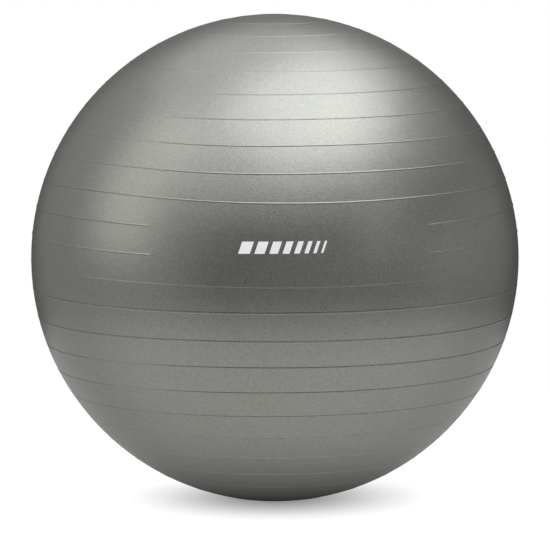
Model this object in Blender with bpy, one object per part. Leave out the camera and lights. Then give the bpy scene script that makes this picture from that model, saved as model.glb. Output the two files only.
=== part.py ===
"""Inflated exercise ball: moulded shell, bonded-in valve seat and push-in valve plug.

Frame: metres, +Z up, origin on the floor under the ball's centre.  The moulded poles lie on
the vertical axis, the smooth panel faces -Y and the valve is on the opposite side.
"""
import math

import bmesh
import bpy
from mathutils import Matrix, Vector

# Ball
BALL_RADIUS = 0.325
WALL = 0.0008
CONTACT_RADIUS = 0.035          # flat that the ball's weight presses on the floor
GAP = 0.0003                    # clearance between neighbouring pieces

# Raised lines round the ball: a rib on each latitude and the mould seam on the equator
RIBS_PER_HALF = 11
RIB_RUN = 0.00125               # a rib's flank, half its width
RIB_HEIGHT = 0.00065            # above the seam
RUN_RATIO = 0.96                # each rib's flank to the one below it
HEIGHT_RATIO = 0.90
LOWER_FLANK = 0.75              # above the seam, to the upper flank
LOW_RIB_HEIGHT = 0.00020        # below the seam
LOW_RIB_SHIFT = 0.00180         # how far a low rib lies below its line
RIB_STEP_DEG = 6.25             # first step away from the equator
RIB_SPREAD_DEG = 0.021          # widens the steps towards the poles
RIB_END_DEG = 0.7               # run-out of a rib that stops
SEAM_RUN = 0.0006
SEAM_HEIGHT = 0.00015

# Smooth areas: ribs 1 and 2 above the seam stop on either side of them
STOPPED_RIBS = (1, 2)
PANEL_AZIMUTH_DEG = -90.0
PANEL_HALF_DEG = 34.2
VALVE_AZIMUTH_DEG = 90.0
VALVE_HALF_DEG = 4.5
SMOOTH_AREAS = ((PANEL_AZIMUTH_DEG, PANEL_HALF_DEG), (VALVE_AZIMUTH_DEG, VALVE_HALF_DEG))

# Valve seat; depths are measured inwards from its face
VALVE_LATITUDE_DEG = 9.4
SEAT_PROUD = 0.0004
SEAT_DISC_RADIUS = 0.0140
SEAT_FLANGE_RADIUS = 0.0190
SEAT_FLANGE_TOP = 0.0027
SEAT_FLANGE_BOTTOM = 0.0042
SEAT_TUBE_RADIUS = 0.0085
SEAT_DEPTH = 0.0220
SEAT_FILLET = 0.0015
RECESS_RADIUS = 0.0070
RECESS_DEPTH = 0.0023
EDGE = 0.0005                   # chamfer on the small moulded edges

# Valve plug
PLUG_SUNK = 0.0001
PLUG_HEAD_RADIUS = 0.0065
PLUG_SHANK_RADIUS = 0.0041
PLUG_SHANK_END = 0.0115
PLUG_WAIST_RADIUS = 0.0029
PLUG_WAIST_START = 0.0235
PLUG_TIP_RADIUS = 0.0017
PLUG_LENGTH = 0.0480

# Mesh
COLUMN_STEP_DEG = 7.5           # widest step between columns of vertices
ROUNDING = 1e-6                 # keeps a span of whole steps from gaining one more
SEAT_SEGMENTS = 48
PLUG_SEGMENTS = 36
SHARP_DEG = 30.0
CUTTER_OUT = 0.006
CUTTER_IN = 0.010

CENTRE_HEIGHT = math.sqrt(BALL_RADIUS ** 2 - CONTACT_RADIUS ** 2)


def clear_scene():
    for old in list(bpy.data.objects):
        bpy.data.objects.remove(old, do_unlink=True)


def plastic(name, colour, roughness, metallic=0.0):
    made = bpy.data.materials.new(name)
    made.use_nodes = True
    shader = made.node_tree.nodes["Principled BSDF"]
    shader.inputs["Base Color"].default_value = (*colour, 1.0)
    shader.inputs["Roughness"].default_value = roughness
    shader.inputs["Metallic"].default_value = metallic
    return made


def add_object(name, bm, mat):
    mesh = bpy.data.meshes.new(name)
    bm.to_mesh(mesh)
    bm.free()
    mesh.materials.append(mat)
    mesh.shade_smooth()
    mesh.set_sharp_from_angle(angle=math.radians(SHARP_DEG))
    made = bpy.data.objects.new(name, mesh)
    bpy.context.scene.collection.objects.link(made)
    return made


def join_rings(bm, first, second):
    """Skin two rings of vertices; a ring of one vertex is a tip."""
    count = max(len(first), len(second))
    for i in range(count):
        j = (i + 1) % count
        corners = [first[i % len(first)], first[j % len(first)],
                   second[j % len(second)], second[i % len(second)]]
        bm.faces.new(dict.fromkeys(corners))


def turned(name, profile, mat, segments, closed=False):
    """Turn a profile of (radius, height) about Z; a radius of 0 is a tip on the axis."""
    bm = bmesh.new()
    rings = []
    for radius, height in profile:
        count = segments if radius else 1
        turns = [2.0 * math.pi * i / count for i in range(count)]
        rings.append([bm.verts.new((radius * math.cos(t), radius * math.sin(t), height))
                      for t in turns])
    for first, second in zip(rings, rings[1:]):
        join_rings(bm, first, second)
    if closed:
        join_rings(bm, rings[-1], rings[0])
    bmesh.ops.recalc_face_normals(bm, faces=bm.faces)
    return add_object(name, bm, mat)


def rib_latitude(number):
    size = abs(number)
    degrees = RIB_STEP_DEG * size + RIB_SPREAD_DEG * size ** 2.5
    return math.copysign(math.radians(degrees), number)


def degrees_between(azimuth, centre):
    return abs((azimuth - centre + 180.0) % 360.0 - 180.0)


def rib_factor(azimuth):
    """0 on a smooth area, 1 on a full rib, with a short run-out between them."""
    outside = min(degrees_between(azimuth, centre) - half for centre, half in SMOOTH_AREAS)
    return max(0.0, min(1.0, outside / RIB_END_DEG))


def column_azimuths():
    """Azimuths of the shell's vertices in degrees, with one on every rib end."""
    marks = []
    for centre, half in SMOOTH_AREAS:
        reach = half + RIB_END_DEG
        marks += [centre - reach, centre - half, centre + half, centre + reach]
    columns = []
    for start, end in zip(marks, marks[1:] + [marks[0] + 360.0]):
        steps = math.ceil((end - start) / COLUMN_STEP_DEG - ROUNDING)
        columns += [start + (end - start) * i / steps for i in range(steps)]
    return columns


def rib_section(number):
    """(lower run, upper run, height) of a rib; number 0 is the seam."""
    if number == 0:
        return SEAM_RUN, SEAM_RUN, SEAM_HEIGHT
    if number < 0:
        return RIB_RUN, RIB_RUN, LOW_RIB_HEIGHT
    run = RIB_RUN * RUN_RATIO ** number
    return LOWER_FLANK * run, run, RIB_HEIGHT * HEIGHT_RATIO ** number


def outer_rows():
    """(latitude, rise, stops) of each row of the outer skin, from the floor to the pole."""
    rows = [(-math.acos(CONTACT_RADIUS / BALL_RADIUS), 0.0, False)]
    for number in range(-RIBS_PER_HALF, RIBS_PER_HALF + 1):
        lower, upper, rise = rib_section(number)
        latitude = rib_latitude(number)
        if number < 0:
            latitude -= LOW_RIB_SHIFT / BALL_RADIUS
        rows += [(latitude - lower / BALL_RADIUS, 0.0, False),
                 (latitude, rise, number in STOPPED_RIBS),
                 (latitude + upper / BALL_RADIUS, 0.0, False)]
    return rows + [(polar_row(), 0.0, False)]


def inner_rows():
    """The same for the inner skin, which has no ribs."""
    floor_row = -math.asin((CENTRE_HEIGHT - WALL) / (BALL_RADIUS - WALL))
    ribs = [rib_latitude(n) for n in range(-RIBS_PER_HALF, RIBS_PER_HALF + 1)]
    return [(latitude, 0.0, False) for latitude in [floor_row, *ribs, polar_row()]]


def polar_row():
    """Latitude midway between the last rib and the pole."""
    return 0.5 * (rib_latitude(RIBS_PER_HALF) + 0.5 * math.pi)


def add_skin(bm, rows, radius, floor):
    """Add a closed skin to the mesh: a flat foot, rows of vertices and a tip on the pole."""
    columns = column_azimuths()
    rings = [[bm.verts.new((0.0, 0.0, floor))]]
    for latitude, rise, stops in rows:
        ring = []
        for azimuth in columns:
            reach = radius + rise * (rib_factor(azimuth) if stops else 1.0)
            across = reach * math.cos(latitude)
            turn = math.radians(azimuth)
            ring.append(bm.verts.new((across * math.cos(turn), across * math.sin(turn),
                                      CENTRE_HEIGHT + reach * math.sin(latitude))))
        rings.append(ring)
    rings.append([bm.verts.new((0.0, 0.0, CENTRE_HEIGHT + radius))])
    first_face = len(bm.faces)
    for lower, upper in zip(rings, rings[1:]):
        join_rings(bm, lower, upper)
    bm.faces.ensure_lookup_table()
    return bm.faces[first_face:]


def valve_matrix():
    """Origin at the centre of the seat's face, local +Z along the valve's outward axis."""
    azimuth = math.radians(VALVE_AZIMUTH_DEG)
    latitude = math.radians(VALVE_LATITUDE_DEG)
    axis = Vector((math.cos(latitude) * math.cos(azimuth),
                   math.cos(latitude) * math.sin(azimuth),
                   math.sin(latitude)))
    face = Vector((0.0, 0.0, CENTRE_HEIGHT)) + axis * (BALL_RADIUS + SEAT_PROUD)
    return Matrix.Translation(face) @ axis.to_track_quat("Z", "Y").to_matrix().to_4x4()


def cut(target, cutter):
    boolean = target.modifiers.new("cut", "BOOLEAN")
    boolean.operation = "DIFFERENCE"
    boolean.solver = "EXACT"
    boolean.object = cutter
    cutter.hide_render = True
    cutter.display_type = "WIRE"


def ball_shell(mat):
    """One hollow moulding: an outer skin with the ribs, a smooth inner skin, a valve hole."""
    bm = bmesh.new()
    outer = add_skin(bm, outer_rows(), BALL_RADIUS, 0.0)
    bmesh.ops.recalc_face_normals(bm, faces=outer)
    inner = add_skin(bm, inner_rows(), BALL_RADIUS - WALL, WALL)
    bmesh.ops.recalc_face_normals(bm, faces=inner)
    bmesh.ops.reverse_faces(bm, faces=inner)
    shell = add_object("ball_shell", bm, mat)
    radius = SEAT_DISC_RADIUS + GAP
    hole = turned("valve_hole", [(0.0, CUTTER_OUT), (radius, CUTTER_OUT),
                                 (radius, -CUTTER_IN), (0.0, -CUTTER_IN)], mat, SEAT_SEGMENTS)
    hole.matrix_world = valve_matrix()
    cut(shell, hole)
    return shell


def valve_seat(mat):
    """Disc that fills the shell's hole, bonding flange behind it and the tube of the bore."""
    bore = PLUG_SHANK_RADIUS + GAP
    mouth = bore - EDGE
    seat = turned("valve_seat", [
        (RECESS_RADIUS + EDGE, 0.0),
        (SEAT_DISC_RADIUS - EDGE, 0.0),
        (SEAT_DISC_RADIUS, -EDGE),
        (SEAT_DISC_RADIUS, -SEAT_FLANGE_TOP),
        (SEAT_FLANGE_RADIUS, -SEAT_FLANGE_TOP),
        (SEAT_FLANGE_RADIUS, -SEAT_FLANGE_BOTTOM),
        (SEAT_TUBE_RADIUS + SEAT_FILLET, -SEAT_FLANGE_BOTTOM),
        (SEAT_TUBE_RADIUS, -SEAT_FLANGE_BOTTOM - SEAT_FILLET),
        (SEAT_TUBE_RADIUS, EDGE - SEAT_DEPTH),
        (SEAT_TUBE_RADIUS - EDGE, -SEAT_DEPTH),
        (mouth, -SEAT_DEPTH),
        (bore, -PLUG_SHANK_END - SEAT_FILLET),
        (bore, -RECESS_DEPTH),
        (RECESS_RADIUS, -RECESS_DEPTH),
        (RECESS_RADIUS, -EDGE),
    ], mat, SEAT_SEGMENTS, closed=True)
    seat.matrix_world = valve_matrix()
    return seat


def valve_plug(mat):
    """Flanged head that sits in the seat's recess, shank, taper and slim lead-in tip."""
    shoulder = GAP - RECESS_DEPTH
    plug = turned("valve_plug", [
        (0.0, -PLUG_SUNK),
        (PLUG_HEAD_RADIUS - EDGE, -PLUG_SUNK),
        (PLUG_HEAD_RADIUS, -PLUG_SUNK - EDGE),
        (PLUG_HEAD_RADIUS, shoulder),
        (PLUG_SHANK_RADIUS, shoulder),
        (PLUG_SHANK_RADIUS, -PLUG_SHANK_END),
        (PLUG_WAIST_RADIUS, -PLUG_WAIST_START),
        (PLUG_TIP_RADIUS, EDGE - PLUG_LENGTH),
        (PLUG_TIP_RADIUS - EDGE, -PLUG_LENGTH),
        (0.0, -PLUG_LENGTH),
    ], mat, PLUG_SEGMENTS)
    plug.matrix_world = valve_matrix()
    return plug


clear_scene()
ball_shell(plastic("shell_pvc", (0.25, 0.25, 0.23), 0.37, metallic=0.7))
valve_seat(plastic("seat_pvc", (0.16, 0.17, 0.16), 0.47))
valve_plug(plastic("plug_pvc", (0.82, 0.82, 0.80), 0.40))
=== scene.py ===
import math

import bmesh
import bpy
from mathutils import Matrix, Vector


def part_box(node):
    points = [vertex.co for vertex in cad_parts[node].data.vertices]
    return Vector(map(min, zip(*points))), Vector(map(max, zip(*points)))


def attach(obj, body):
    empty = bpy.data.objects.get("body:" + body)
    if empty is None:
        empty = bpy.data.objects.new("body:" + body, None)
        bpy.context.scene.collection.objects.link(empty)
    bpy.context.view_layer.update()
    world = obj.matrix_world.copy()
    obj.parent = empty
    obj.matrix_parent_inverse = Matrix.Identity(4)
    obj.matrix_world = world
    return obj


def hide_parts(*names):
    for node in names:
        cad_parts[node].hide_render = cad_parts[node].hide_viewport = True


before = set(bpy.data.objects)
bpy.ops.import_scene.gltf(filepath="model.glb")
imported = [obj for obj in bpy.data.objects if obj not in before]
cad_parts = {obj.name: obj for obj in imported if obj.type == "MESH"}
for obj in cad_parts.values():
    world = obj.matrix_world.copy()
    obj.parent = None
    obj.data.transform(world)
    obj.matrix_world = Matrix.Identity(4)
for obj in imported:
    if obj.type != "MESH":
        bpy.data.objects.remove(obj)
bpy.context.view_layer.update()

# The ball, in the frame's metres
BALL_RADIUS = 0.325
CONTACT_RADIUS = 0.035
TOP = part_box("ball_shell")[1].z
CENTRE = Vector((0.0, 0.0, TOP - BALL_RADIUS))
SHARP_ANGLE_DEG = 40.0                                   # on any piece, sharper edges shade hard

# Raised lines round it, numbered from the seam on the equator: 1 to 11 above, -1 to -11 below
RIBS_PER_HALF = 11
RIB_STEP_DEG = 6.25                                      # latitude of a rib, per rib,
RIB_SPREAD_DEG = 0.021                                   # and what it spreads by towards a pole
RIB_SPREAD_POWER = 2.5
SEAM_RUN = 0.0006                                        # flank: from a rib's top to its foot
SEAM_HEIGHT = 0.00015
RIB_ROUND = 0.25                                         # rounding of a rib's top, in flanks
CREST = (-1.0, -0.7, -0.4, -0.15, 0.15, 0.4, 0.7, 1.0)   # rows over a rib, in flanks
CREST_MARGIN = 1.35                                      # row beside a rib, in flanks
ROWS_BETWEEN = 2
COLUMN_STEP_DEG = 1.4

# Above the seam: rib n has these times the ratio to the power n
RIB_RUN = 0.00125                                        # upper flank, and both of a low rib
RUN_RATIO = 0.96
RIB_HEIGHT = 0.00065
HEIGHT_RATIO = 0.90
LOWER_FLANK = 0.75                                       # lower flank's share of the upper one

# Below the seam: a low rib with a fine crease along its upper side
LOW_RIB_HEIGHT = 0.00020
LOW_RIB_SHIFT = 0.00180                                  # the whole section lies this far down
CREASE_WIDTH = 0.00110
CREASE_DEPTH = 0.00055
CREASE_STEPS = 4                                         # rib -1 has 2 of 4 steps of the width,
                                                         # -2 has 3, and -3 onwards has them all

# The mould isn't perfectly true: the lines drift a little up or down on parts of the ball.
# Each drift: degrees of latitude, then its middle and reach in ribs and in degrees of azimuth
DRIFTS = (
    (0.95, 3.6, 4.4, -151.0, 52.0),
    (-0.75, 1.7, 3.2, -82.0, 45.0),
    (-0.50, -3.2, 3.6, -159.0, 60.0),
    (-0.30, -2.4, 2.2, -54.0, 55.0),
    (0.38, -1.0, 1.0, -100.0, 300.0),
)

# Smooth areas where ribs 1 and 2 stop: the front panel and the valve's patch
SMOOTH_AREAS = ((-90.0, 34.2), (90.0, 4.5))              # azimuth of the middle, half width
STOPPED_RIBS = {1: 0.9, 2: 0.0}                          # degrees each reaches into the areas
END_STEPS = (0.0, 0.08, 0.18, 0.32, 0.5, 0.8)            # degrees outwards from a rib's end
NUB_RISE = (0.0, 1.0, 1.9, 1.9, 1.3, 1.0)                # the end at a lower azimuth is a nub
FADE_RISE = (0.0, 0.1, 0.25, 0.45, 0.7, 1.0)             # and the other end fades out

# Valve; depths are measured inwards from the seat's face
VALVE_LATITUDE_DEG = 9.4
SEAT_PROUD = 0.0004
GAP = 0.0003                                             # clearance between pieces
SEAT_DISC_RADIUS = 0.0140
SEAT_FLANGE_RADIUS = 0.0190
SEAT_FLANGE_TOP = 0.0027
SEAT_FLANGE_BOTTOM = 0.0042
SEAT_TUBE_RADIUS = 0.0085
SEAT_DEPTH = 0.0220
SEAT_FILLET = 0.0015
RECESS_RADIUS = 0.0070
RECESS_DEPTH = 0.0023
BORE_TAPER = 0.0005                                      # how much the bore's inner end narrows
PLUG_SUNK = 0.0001
PLUG_HEAD_RADIUS = 0.0065
PLUG_SHANK_RADIUS = 0.0041
PLUG_SHANK_END = 0.0115
PLUG_WAIST_RADIUS = 0.0029
PLUG_WAIST_START = 0.0235
PLUG_TIP_RADIUS = 0.0017
PLUG_LENGTH = 0.0480
VALVE_SEGMENTS = 96
EDGE_ROUNDING = 0.0004
EDGE_SEGMENTS = 3
EDGE_ANGLE_DEG = 25.0                                    # edges sharper than this are rounded

# Printed mark on the panel
MARK_AZIMUTH_DEG = -92.15
MARK_LATITUDE_DEG = 8.7
MARK_HEIGHT = 0.0155
MARK_SLANT = 0.0055
MARK_WIDTHS = (0.0150, 0.0130, 0.0110, 0.0090, 0.0072, 0.0056, 0.0042, 0.0030)
MARK_GAP = 0.0058
MARK_LOW = 0.00003                                       # the ink's lower and upper face,
MARK_HIGH = 0.00012                                      # above the skin
MARK_CELLS_ACROSS = 4
MARK_CELLS_UP = 5

# Pearl PVC of the shell: colour, then its moulded grain from coarse to fine
PEARL_SHADES = ((0.240, 0.245, 0.219), (0.252, 0.257, 0.231))
PEARL_METALLIC = 0.72
PVC_IOR = 1.5
CLOUD_SIZE = 0.12
PEEL_SIZE = 0.0070
PEEL_HEIGHT = 0.00010
PEBBLE_SIZE = 0.0016
PEBBLE_HEIGHT = 0.00010
PEBBLE_SMOOTHNESS = 0.6
FLECK_SIZE = 0.0011
FLECK_SHADES = (0.80, 1.20)                              # factors on the colour
FLECK_ROUGHNESS = (0.32, 0.42)
GRAIN_SIZE = 0.0010
GRAIN_HEIGHT = 0.00012

# Plain plastics: cloud size, two shades, range of roughness, grain size and grain height
SEAT_PVC = (0.01, ((0.15, 0.153, 0.145), (0.175, 0.178, 0.17)), (0.42, 0.52), 0.0008, 0.00002)
PLUG_PVC = (0.008, ((0.78, 0.78, 0.75), (0.84, 0.84, 0.82)), (0.30, 0.42), 0.0006, 0.00001)
WHITE_INK = (0.004, ((0.94, 0.94, 0.93), (0.98, 0.98, 0.97)), (0.45, 0.55), 0.0030, 0.00005)
POLISH_SIZE = 0.002                                      # patches of differing roughness
TEXTURE_RANGE = (0.3, 0.7)                               # part of a texture that a ramp spreads

# Camera
CAMERA_AZIMUTH_DEG = -3.95
CAMERA_ELEVATION_DEG = 6.5
CAMERA_DISTANCE = 20.0 * BALL_RADIUS
CAMERA_ROLL_DEG = -0.3
BALL_SHARE_OF_WIDTH = 0.8865                             # the ball's width in the picture
AIM_DROP = 0.0221                                        # how far it aims below the ball's centre

# Table: a painted glow with a painted shadow round the ball's foot. Each glow starts and ends at
# a distance, then has a strength at the start and the end
TABLE_RADIUS = 1.05
TABLE_SEGMENTS = 96
TABLE_SHADE = 0.2
TABLE_ROUGHNESS = 0.7
TABLE_SHINE = 0.1
TABLE_PAINTED_GLOW = (0.05, 0.27, 0.06, 0.75)                    # painted glow and painted shadow, from the foot outwards, for the ball
TABLE_PAINTED_FALLOFF = (-0.32, 0.0, 1.0, 0.56)                     # painted dimming from the front to the back, a factor
TABLE_PAINTED_GLOW_SEEN = (0.0, 0.22, 0.22, 0.95)                # painted shadow on white, from the foot outwards, for the camera

# Studio. A softbox: name, azimuth from the camera's side and elevation in degrees,
# half width and half height as tangents seen from the ball, radiance, colour
ROOM_LIGHT = 0.0
LAMP_DISTANCE = 3.0
COOL = (1.00, 1.00, 1.05)
NEUTRAL = (1.00, 1.00, 1.00)
SOFTBOXES = (
    ("ceiling", -6.0, 84.0, 0.80, 1.35, 1.20, COOL),
    ("key", 48.0, 73.0, 0.60, 0.45, 2.30, COOL),
    ("left_wide", -90.0, 18.0, 1.50, 0.80, 0.40, NEUTRAL),
    ("left_strip", -75.0, 29.5, 0.30, 0.50, 1.45, NEUTRAL),
    ("right_strip", 48.5, 39.0, 0.13, 0.63, 1.00, NEUTRAL),
    ("right_wide", 94.0, 50.0, 0.68, 0.47, 0.40, NEUTRAL),
    ("right_edge", 103.0, 2.0, 0.67, 0.29, 0.35, NEUTRAL),
    ("low_strip", 44.0, 2.0, 1.95, 0.15, 0.33, NEUTRAL),
)


def link(name, data):
    """New object with this data, in the scene."""
    made = bpy.data.objects.new(name, data)
    bpy.context.scene.collection.objects.link(made)
    return made


def direction(azimuth_deg, latitude):
    """Unit vector at an azimuth in degrees and a latitude in radians."""
    turn = math.radians(azimuth_deg)
    return Vector((math.cos(latitude) * math.cos(turn),
                   math.cos(latitude) * math.sin(turn),
                   math.sin(latitude)))


def finish_mesh(mesh):
    mesh.shade_smooth()
    mesh.set_sharp_from_angle(angle=math.radians(SHARP_ANGLE_DEG))


# ---------------------------------------------------------------- shell

def rib_latitude(number):
    size = abs(number)
    degrees = RIB_STEP_DEG * size + RIB_SPREAD_DEG * size ** RIB_SPREAD_POWER
    return math.copysign(math.radians(degrees), number)


def bell(away):
    """Smooth bump: 1 in the middle and 0 from 1 away onwards."""
    return 0.5 * (1.0 + math.cos(math.pi * min(1.0, abs(away))))


def degrees_apart(first, second):
    return abs((first - second + 180.0) % 360.0 - 180.0)


def drift(number, azimuth):
    """How far the mould's lines lie off true, as a latitude."""
    return sum(math.radians(degrees) * bell((number - rib) / ribs)
               * bell(degrees_apart(azimuth, middle) / reach)
               for degrees, rib, ribs, middle, reach in DRIFTS)


def end_rise(number, azimuth):
    """Share of a rib's height at an azimuth: 0 in a smooth area, then its nub or its fade."""
    if number not in STOPPED_RIBS:
        return 1.0
    for middle, half in SMOOTH_AREAS:
        outside = degrees_apart(azimuth, middle) - half + STOPPED_RIBS[number]
        if outside <= 0.0:
            return 0.0
        if outside < END_STEPS[-1]:
            step = next(i for i, limit in enumerate(END_STEPS) if outside < limit)
            share = (outside - END_STEPS[step - 1]) / (END_STEPS[step] - END_STEPS[step - 1])
            rises = NUB_RISE if (middle - azimuth) % 360.0 < 180.0 else FADE_RISE
            return rises[step - 1] + share * (rises[step] - rises[step - 1])
    return 1.0


def shell_columns():
    """Azimuths of the columns of vertices, from -180 up, with some close together at rib ends."""
    marks = []
    for middle, half in SMOOTH_AREAS:
        for inwards in STOPPED_RIBS.values():
            marks += [middle - half + inwards - step for step in END_STEPS]
            marks += [middle + half - inwards + step for step in END_STEPS]
    marks = sorted(marks)
    columns = []
    for start, end in zip(marks, marks[1:] + [marks[0] + 360.0]):
        steps = max(1, round((end - start) / COLUMN_STEP_DEG))
        columns += [start + (end - start) * i / steps for i in range(steps)]
    return columns


def rows_between(low, high, number):
    """Plain rows from one rib's margin to the next one's, both included."""
    rows = []
    for i in range(ROWS_BETWEEN + 2):
        share = i / (ROWS_BETWEEN + 1)
        rows.append((low + (high - low) * share, 0.0, number + share))
    return rows


def ridge(place):
    """Height of a rib across its width: two flat flanks and a rounded top of height 1."""
    foot = math.hypot(1.0, RIB_ROUND)
    return (foot - math.hypot(place, RIB_ROUND)) / (foot - RIB_ROUND)


def rib_profile(number):
    """(way up the surface, rise) of the rows of vertices across a rib, from margin to margin."""
    run, height, lower = SEAM_RUN, SEAM_HEIGHT, 1.0
    if number > 0:
        run, height = RIB_RUN * RUN_RATIO ** number, RIB_HEIGHT * HEIGHT_RATIO ** number
        lower = LOWER_FLANK
    if number < 0:
        run, height = RIB_RUN, LOW_RIB_HEIGHT
    profile = [(-run * CREST_MARGIN, 0.0)]
    profile += [(run * place * (lower if place < 0.0 else 1.0), height * ridge(place))
                for place in CREST]
    if number < 0:
        width = CREASE_WIDTH * min(1.0, (1 - number) / CREASE_STEPS)
        profile += [(run + 0.5 * width, -CREASE_DEPTH), (run + width, 0.0)]
        profile = [(way - LOW_RIB_SHIFT, rise) for way, rise in profile]
    return profile + [(profile[-1][0] + run * (CREST_MARGIN - 1.0), 0.0)]


def shell_rows():
    """(latitude, rise, rib number) for each row of vertices from the floor to the top."""
    rows = []
    reached = -math.acos(CONTACT_RADIUS / BALL_RADIUS)
    for number in range(-RIBS_PER_HALF, RIBS_PER_HALF + 1):
        rib = [(rib_latitude(number) + way / BALL_RADIUS, rise, number)
               for way, rise in rib_profile(number)]
        rows += rows_between(reached, rib[0][0], number - 1)[:-1] + rib[:-1]
        reached = rib[-1][0]
    return rows + rows_between(reached, 0.5 * math.pi, RIBS_PER_HALF)[:-1]


def make_skin():
    """Outer skin of the ball: round ribs and seam, flat foot, pocket behind the valve."""
    columns = shell_columns()
    count = len(columns)
    rows = shell_rows()
    verts = [Vector((0.0, 0.0, 0.0))]
    for latitude, rise, number in rows:
        for azimuth in columns:
            reach = BALL_RADIUS + rise * end_rise(number, azimuth)
            place = direction(azimuth, latitude + drift(number, azimuth))
            verts.append(CENTRE + place * reach)
    verts.append(CENTRE + Vector((0.0, 0.0, BALL_RADIUS)))
    faces = []
    for i in range(count):
        j = (i + 1) % count
        faces.append((0, 1 + j, 1 + i))
        for row in range(len(rows) - 1):
            low, high = 1 + row * count, 1 + (row + 1) * count
            faces.append((low + i, low + j, high + j, high + i))
        last = 1 + (len(rows) - 1) * count
        faces.append((last + i, last + j, len(verts) - 1))
    mesh = bpy.data.meshes.new("ball_skin")
    mesh.from_pydata(verts, [], faces)
    skin = link("ball_skin", mesh)
    cut_pocket(skin)
    finish_mesh(skin.data)
    return skin


def cut_pocket(skin):
    """Take the space that the seat and the plug fill out of the skin."""
    mouth = SEAT_DISC_RADIUS + GAP
    flange = SEAT_FLANGE_RADIUS + GAP
    tube = SEAT_TUBE_RADIUS + GAP
    depth = PLUG_LENGTH + SEAT_FILLET
    cutter = turned("pocket", [
        (0.0, mouth), (mouth, mouth), (mouth, GAP - SEAT_FLANGE_TOP),
        (flange, GAP - SEAT_FLANGE_TOP), (flange, -SEAT_FLANGE_BOTTOM - GAP),
        (tube + SEAT_FILLET, -SEAT_FLANGE_BOTTOM - GAP - SEAT_FILLET),
        (tube + SEAT_FILLET, -depth), (0.0, -depth)])
    boolean = skin.modifiers.new("pocket", "BOOLEAN")
    boolean.operation = "DIFFERENCE"
    boolean.solver = "EXACT"
    boolean.object = cutter
    seen = skin.evaluated_get(bpy.context.evaluated_depsgraph_get())
    cut = bpy.data.meshes.new_from_object(seen)
    skin.modifiers.clear()
    skin.data = cut
    bpy.data.objects.remove(cutter, do_unlink=True)


# ---------------------------------------------------------------- valve

def valve_matrix():
    """Origin at the centre of the seat's face, local +Z along the valve's outward axis."""
    axis = direction(90.0, math.radians(VALVE_LATITUDE_DEG))
    face = CENTRE + axis * (BALL_RADIUS + SEAT_PROUD)
    return Matrix.Translation(face) @ axis.to_track_quat("Z", "Y").to_matrix().to_4x4()


def turned(name, profile, closed=False, round_edges=0.0):
    """Turn a profile of (radius, height) about the valve's axis; a radius of 0 is a tip."""
    bm = bmesh.new()
    rings = []
    for radius, height in profile:
        count = VALVE_SEGMENTS if radius else 1
        turns = [2.0 * math.pi * i / count for i in range(count)]
        rings.append([bm.verts.new((radius * math.cos(t), radius * math.sin(t), height))
                      for t in turns])
    pairs = list(zip(rings, rings[1:]))
    if closed:
        pairs.append((rings[-1], rings[0]))
    for first, second in pairs:
        for i in range(VALVE_SEGMENTS):
            j = (i + 1) % VALVE_SEGMENTS
            corners = [first[i % len(first)], first[j % len(first)],
                       second[j % len(second)], second[i % len(second)]]
            bm.faces.new(dict.fromkeys(corners))
    bmesh.ops.recalc_face_normals(bm, faces=bm.faces)
    if round_edges:
        creased = [e for e in bm.edges if e.calc_face_angle(0.0) > math.radians(EDGE_ANGLE_DEG)]
        bmesh.ops.bevel(bm, geom=creased, offset=round_edges, segments=EDGE_SEGMENTS,
                        profile=0.5, affect="EDGES", clamp_overlap=True)
    mesh = bpy.data.meshes.new(name)
    bm.to_mesh(mesh)
    bm.free()
    mesh.transform(valve_matrix())
    finish_mesh(mesh)
    return link(name, mesh)


def make_seat():
    """Disc in the skin's hole, bonding flange behind it and the tube that holds the plug."""
    bore = PLUG_SHANK_RADIUS + GAP
    return turned("valve_seat_moulding", [
        (RECESS_RADIUS, 0.0),
        (SEAT_DISC_RADIUS, 0.0),
        (SEAT_DISC_RADIUS, -SEAT_FLANGE_TOP),
        (SEAT_FLANGE_RADIUS, -SEAT_FLANGE_TOP),
        (SEAT_FLANGE_RADIUS, -SEAT_FLANGE_BOTTOM),
        (SEAT_TUBE_RADIUS + SEAT_FILLET, -SEAT_FLANGE_BOTTOM),
        (SEAT_TUBE_RADIUS, -SEAT_FLANGE_BOTTOM - SEAT_FILLET),
        (SEAT_TUBE_RADIUS, -SEAT_DEPTH),
        (bore - BORE_TAPER, -SEAT_DEPTH),
        (bore, -PLUG_SHANK_END - SEAT_FILLET),
        (bore, -RECESS_DEPTH),
        (RECESS_RADIUS, -RECESS_DEPTH),
    ], closed=True, round_edges=EDGE_ROUNDING)


def make_plug():
    """Flanged head, shank, taper and slim tip of the stopper."""
    shoulder = GAP - RECESS_DEPTH
    return turned("valve_plug_moulding", [
        (0.0, -PLUG_SUNK),
        (PLUG_HEAD_RADIUS, -PLUG_SUNK),
        (PLUG_HEAD_RADIUS, shoulder),
        (PLUG_SHANK_RADIUS, shoulder),
        (PLUG_SHANK_RADIUS, -PLUG_SHANK_END),
        (PLUG_WAIST_RADIUS, -PLUG_WAIST_START),
        (PLUG_TIP_RADIUS, -PLUG_LENGTH),
        (0.0, -PLUG_LENGTH),
    ], round_edges=EDGE_ROUNDING)


# ---------------------------------------------------------------- printed mark

def make_mark():
    """Row of slanted bars that thin out to the right, printed on the panel."""
    bm = bmesh.new()
    length = sum(MARK_WIDTHS) + MARK_GAP * (len(MARK_WIDTHS) - 1)
    left = -0.5 * length
    for width in MARK_WIDTHS:
        add_bar(bm, left, width)
        left += width + MARK_GAP
    bmesh.ops.recalc_face_normals(bm, faces=bm.faces)
    mesh = bpy.data.meshes.new("panel_mark")
    bm.to_mesh(mesh)
    bm.free()
    finish_mesh(mesh)
    return link("panel_mark", mesh)


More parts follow.
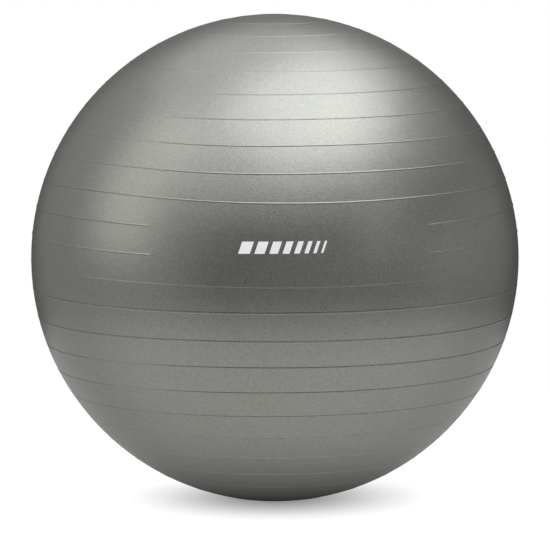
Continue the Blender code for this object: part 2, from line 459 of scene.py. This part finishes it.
def add_bar(bm, left, width):
    """One slanted bar as a thin closed body that follows the ball's curve."""
    across, up = MARK_CELLS_ACROSS, MARK_CELLS_UP
    layers = []
    for lift in (MARK_LOW, MARK_HIGH):
        grid = []
        for row in range(up + 1):
            height = (row / up - 0.5) * MARK_HEIGHT
            lean = (row / up - 0.5) * MARK_SLANT
            grid.append([bm.verts.new(mark_point(left + lean + width * c / across, height, lift))
                         for c in range(across + 1)])
        layers.append(grid)
    for grid in layers:
        for row in range(up):
            for c in range(across):
                bm.faces.new((grid[row][c], grid[row][c + 1],
                              grid[row + 1][c + 1], grid[row + 1][c]))
    low, high = [rim(grid) for grid in layers]
    for i in range(len(low)):
        j = (i + 1) % len(low)
        bm.faces.new((low[i], low[j], high[j], high[i]))


def rim(grid):
    """The outline of a grid of vertices, in order."""
    right = [row[-1] for row in grid[1:-1]]
    left = [row[0] for row in reversed(grid[1:-1])]
    return grid[0] + right + list(reversed(grid[-1])) + left


def mark_point(x, y, lift):
    """Point above the skin, x to the right and y up from the middle of the mark."""
    latitude = math.radians(MARK_LATITUDE_DEG) + y / BALL_RADIUS
    azimuth = MARK_AZIMUTH_DEG + math.degrees(x / (BALL_RADIUS * math.cos(latitude)))
    return CENTRE + direction(azimuth, latitude) * (BALL_RADIUS + lift)


# ---------------------------------------------------------------- materials

class Nodes:
    """A new material with its shader, and short calls to add and join nodes."""

    def __init__(self, name):
        self.material = bpy.data.materials.new(name)
        self.material.use_nodes = True
        self.tree = self.material.node_tree
        self.shader = self.tree.nodes["Principled BSDF"]
        self.place = self.add("ShaderNodeTexCoord").outputs["Object"]

    def add(self, kind, **values):
        node = self.tree.nodes.new(kind)
        for key, value in values.items():
            if key in node.inputs:
                node.inputs[key].default_value = value
            else:
                setattr(node, key, value)
        return node

    def join(self, source, target):
        self.tree.links.new(source, target)

    def noise(self, size, detail=2.0):
        node = self.add("ShaderNodeTexNoise", Scale=1.0 / size, Detail=detail)
        self.join(self.place, node.inputs["Vector"])
        return node.outputs["Fac"]

    def pebbles(self, size):
        """Rounded cells of a moulded leather grain."""
        node = self.add("ShaderNodeTexVoronoi", feature="SMOOTH_F1", Scale=1.0 / size,
                        Smoothness=PEBBLE_SMOOTHNESS)
        self.join(self.place, node.inputs["Vector"])
        return node.outputs["Distance"]

    def ramp(self, source, low, high):
        """Map a texture's middle range onto two values or two colours."""
        node = self.add("ShaderNodeValToRGB")
        stops = zip(node.color_ramp.elements, TEXTURE_RANGE, (low, high))
        for stop, position, value in stops:
            stop.position = position
            stop.color = rgba(value)
        self.join(source, node.inputs["Fac"])
        return node.outputs["Color"]

    def times(self, first, second):
        node = self.add("ShaderNodeMix", data_type="RGBA", blend_type="MULTIPLY")
        node.inputs["Factor"].default_value = 1.0
        self.join(first, node.inputs["A"])
        self.join(second, node.inputs["B"])
        return node.outputs["Result"]

    def bump(self, source, height, under=None):
        node = self.add("ShaderNodeBump", Strength=1.0, Distance=height)
        self.join(source, node.inputs["Height"])
        if under:
            self.join(under, node.inputs["Normal"])
        return node.outputs["Normal"]


def rgba(value):
    """Opaque colour from a grey value or from red, green and blue."""
    return (value, value, value, 1.0) if isinstance(value, float) else (*value, 1.0)


def pearl_pvc():
    """Silver-grey pearl PVC: soft metallic sheen, slight clouding, fine moulded grain."""
    n = Nodes("shell_pvc_look")
    n.shader.inputs["Metallic"].default_value = PEARL_METALLIC
    n.shader.inputs["IOR"].default_value = PVC_IOR
    clouds = n.ramp(n.noise(CLOUD_SIZE, 3.0), *PEARL_SHADES)
    flecks = n.noise(FLECK_SIZE, 0.0)
    n.join(n.times(clouds, n.ramp(flecks, *FLECK_SHADES)), n.shader.inputs["Base Color"])
    n.join(n.ramp(flecks, *FLECK_ROUGHNESS), n.shader.inputs["Roughness"])
    orange_peel = n.bump(n.noise(PEEL_SIZE), PEEL_HEIGHT)
    grain = n.bump(n.noise(GRAIN_SIZE, 1.0), GRAIN_HEIGHT, orange_peel)
    n.join(n.bump(n.pebbles(PEBBLE_SIZE), PEBBLE_HEIGHT, grain), n.shader.inputs["Normal"])
    return n.material


def plain_plastic(name, cloud_size, shades, roughness, grain_size, grain_height):
    """Slightly clouded plastic or ink with uneven polish and a faint grain."""
    n = Nodes(name)
    n.join(n.ramp(n.noise(cloud_size), *shades), n.shader.inputs["Base Color"])
    n.join(n.ramp(n.noise(POLISH_SIZE), *roughness), n.shader.inputs["Roughness"])
    n.join(n.bump(n.noise(grain_size), grain_height), n.shader.inputs["Normal"])
    return n.material


def painted_glow_table():
    """White table that glows with painted light, with a painted shadow round the ball's foot and
    dimmer towards the back.

    That painted shade is what the ball reflects; the camera sees a small painted shadow on
    burnt-out white.
    """
    n = Nodes("table_painted_glow_look")
    n.shader.inputs["Base Color"].default_value = rgba(TABLE_SHADE)
    n.shader.inputs["Roughness"].default_value = TABLE_ROUGHNESS
    n.shader.inputs["Specular IOR Level"].default_value = TABLE_SHINE
    # the table's glow is painted light from emission, not a lamp
    n.shader.inputs["Emission Color"].default_value = rgba(1.0)
    away = n.add("ShaderNodeVectorMath", operation="LENGTH")
    n.join(n.place, away.inputs[0])
    split = n.add("ShaderNodeSeparateXYZ")
    n.join(n.place, split.inputs[0])
    # painted glow for the ball: a painted shadow round the foot, dimmer towards the back
    painted_glow = n.add("ShaderNodeMath", operation="MULTIPLY")
    n.join(change(n, away.outputs["Value"], TABLE_PAINTED_GLOW), painted_glow.inputs[0])
    n.join(change(n, split.outputs["Y"], TABLE_PAINTED_FALLOFF), painted_glow.inputs[1])
    # camera rays get a smaller painted shadow round the foot on burnt-out white
    seen = n.add("ShaderNodeLightPath")
    mix = n.add("ShaderNodeMix", data_type="FLOAT")
    n.join(seen.outputs["Is Camera Ray"], mix.inputs["Factor"])
    n.join(painted_glow.outputs["Value"], mix.inputs["A"])
    n.join(change(n, away.outputs["Value"], TABLE_PAINTED_GLOW_SEEN), mix.inputs["B"])
    n.join(mix.outputs["Result"], n.shader.inputs["Emission Strength"])
    return n.material


def change(n, distance, values):
    """Smooth change over a distance; values are its start and end and the result at each."""
    node = n.add("ShaderNodeMapRange", interpolation_type="SMOOTHSTEP")
    for name, value in zip(("From Min", "From Max", "To Min", "To Max"), values):
        node.inputs[name].default_value = value
    n.join(distance, node.inputs["Value"])
    return node.outputs["Result"]


# ---------------------------------------------------------------- studio

def make_camera():
    """Long lens from the front, a little above, framed on the ball."""
    data = bpy.data.cameras.new("camera")
    data.sensor_width = 36.0
    reach = CAMERA_DISTANCE / BALL_RADIUS
    data.lens = 0.5 * data.sensor_width * BALL_SHARE_OF_WIDTH * math.sqrt(reach ** 2 - 1.0)
    data.clip_end = 100.0
    camera = link("camera", data)
    away = studio_direction(0.0, CAMERA_ELEVATION_DEG)
    place = CENTRE + away * CAMERA_DISTANCE
    aim = CENTRE - Vector((0.0, 0.0, AIM_DROP))
    look = (aim - place).to_track_quat("-Z", "Y").to_matrix().to_4x4()
    roll = Matrix.Rotation(math.radians(CAMERA_ROLL_DEG), 4, "Z")
    camera.matrix_world = Matrix.Translation(place) @ look @ roll
    bpy.context.scene.camera = camera


def studio_direction(azimuth_deg, elevation_deg):
    """Unit vector from the ball: azimuth 0 is the camera's side and 90 is its right."""
    return direction(CAMERA_AZIMUTH_DEG + azimuth_deg - 90.0, math.radians(elevation_deg))


def softbox(name, azimuth_deg, elevation_deg, half_width, half_height, radiance, colour):
    """Rectangular lamp facing the ball; its half sizes are tangents seen from the ball."""
    out = studio_direction(azimuth_deg, elevation_deg)
    data = bpy.data.lights.new(name, "AREA")
    data.shape = "RECTANGLE"
    data.size = 2.0 * half_width * LAMP_DISTANCE
    data.size_y = 2.0 * half_height * LAMP_DISTANCE
    data.color = colour
    data.energy = radiance * math.pi * data.size * data.size_y
    lamp = link(name, data)
    lamp.matrix_world = (Matrix.Translation(CENTRE + out * LAMP_DISTANCE)
                         @ out.to_track_quat("Z", "Y").to_matrix().to_4x4())
    lamp.visible_camera = False


def make_table():
    """Round table top, just clear of the ball's foot."""
    bm = bmesh.new()
    bmesh.ops.create_circle(bm, cap_ends=True, segments=TABLE_SEGMENTS, radius=TABLE_RADIUS)
    mesh = bpy.data.meshes.new("table")
    bm.to_mesh(mesh)
    bm.free()
    # the table's look paints its glow and a shadow round the ball's foot
    mesh.materials.append(painted_glow_table())
    table = link("table", mesh)
    table.location.z = -GAP


def make_world():
    """White behind everything the camera sees; a dark room as far as the ball is concerned."""
    world = bpy.data.worlds.new("studio")
    world.use_nodes = True
    tree = world.node_tree
    room = tree.nodes["Background"]
    room.inputs["Color"].default_value = rgba(ROOM_LIGHT)
    white = tree.nodes.new("ShaderNodeBackground")
    white.inputs["Color"].default_value = rgba(1.0)
    path = tree.nodes.new("ShaderNodeLightPath")
    mix = tree.nodes.new("ShaderNodeMixShader")
    tree.links.new(path.outputs["Is Camera Ray"], mix.inputs[0])
    tree.links.new(room.outputs[0], mix.inputs[1])
    tree.links.new(white.outputs[0], mix.inputs[2])
    tree.links.new(mix.outputs[0], tree.nodes["World Output"].inputs["Surface"])
    bpy.context.scene.world = world


def make_studio():
    scene = bpy.context.scene
    scene.view_settings.view_transform = "Standard"
    make_camera()
    make_world()
    make_table()
    for lamp in SOFTBOXES:
        softbox(*lamp)


# ---------------------------------------------------------------- assembly

def place_piece(piece, look, body, slot, *nodes):
    """Give a piece its look and body, and hide the CAD nodes that it stands for. The slot is not
    used.
    """
    piece.data.materials.clear()
    piece.data.materials.append(look)
    if nodes:
        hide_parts(*nodes)
    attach(piece, body)


make_studio()
place_piece(make_skin(), pearl_pvc(), "ball", "shell_pvc", "ball_shell")
place_piece(make_seat(), plain_plastic("seat_pvc_look", *SEAT_PVC),
            "ball", "seat_pvc", "valve_seat")
place_piece(make_plug(), plain_plastic("plug_pvc_look", *PLUG_PVC),
            "plug", "plug_pvc", "valve_plug")
place_piece(make_mark(), plain_plastic("mark_ink_look", *WHITE_INK), "ball", "shell_pvc")
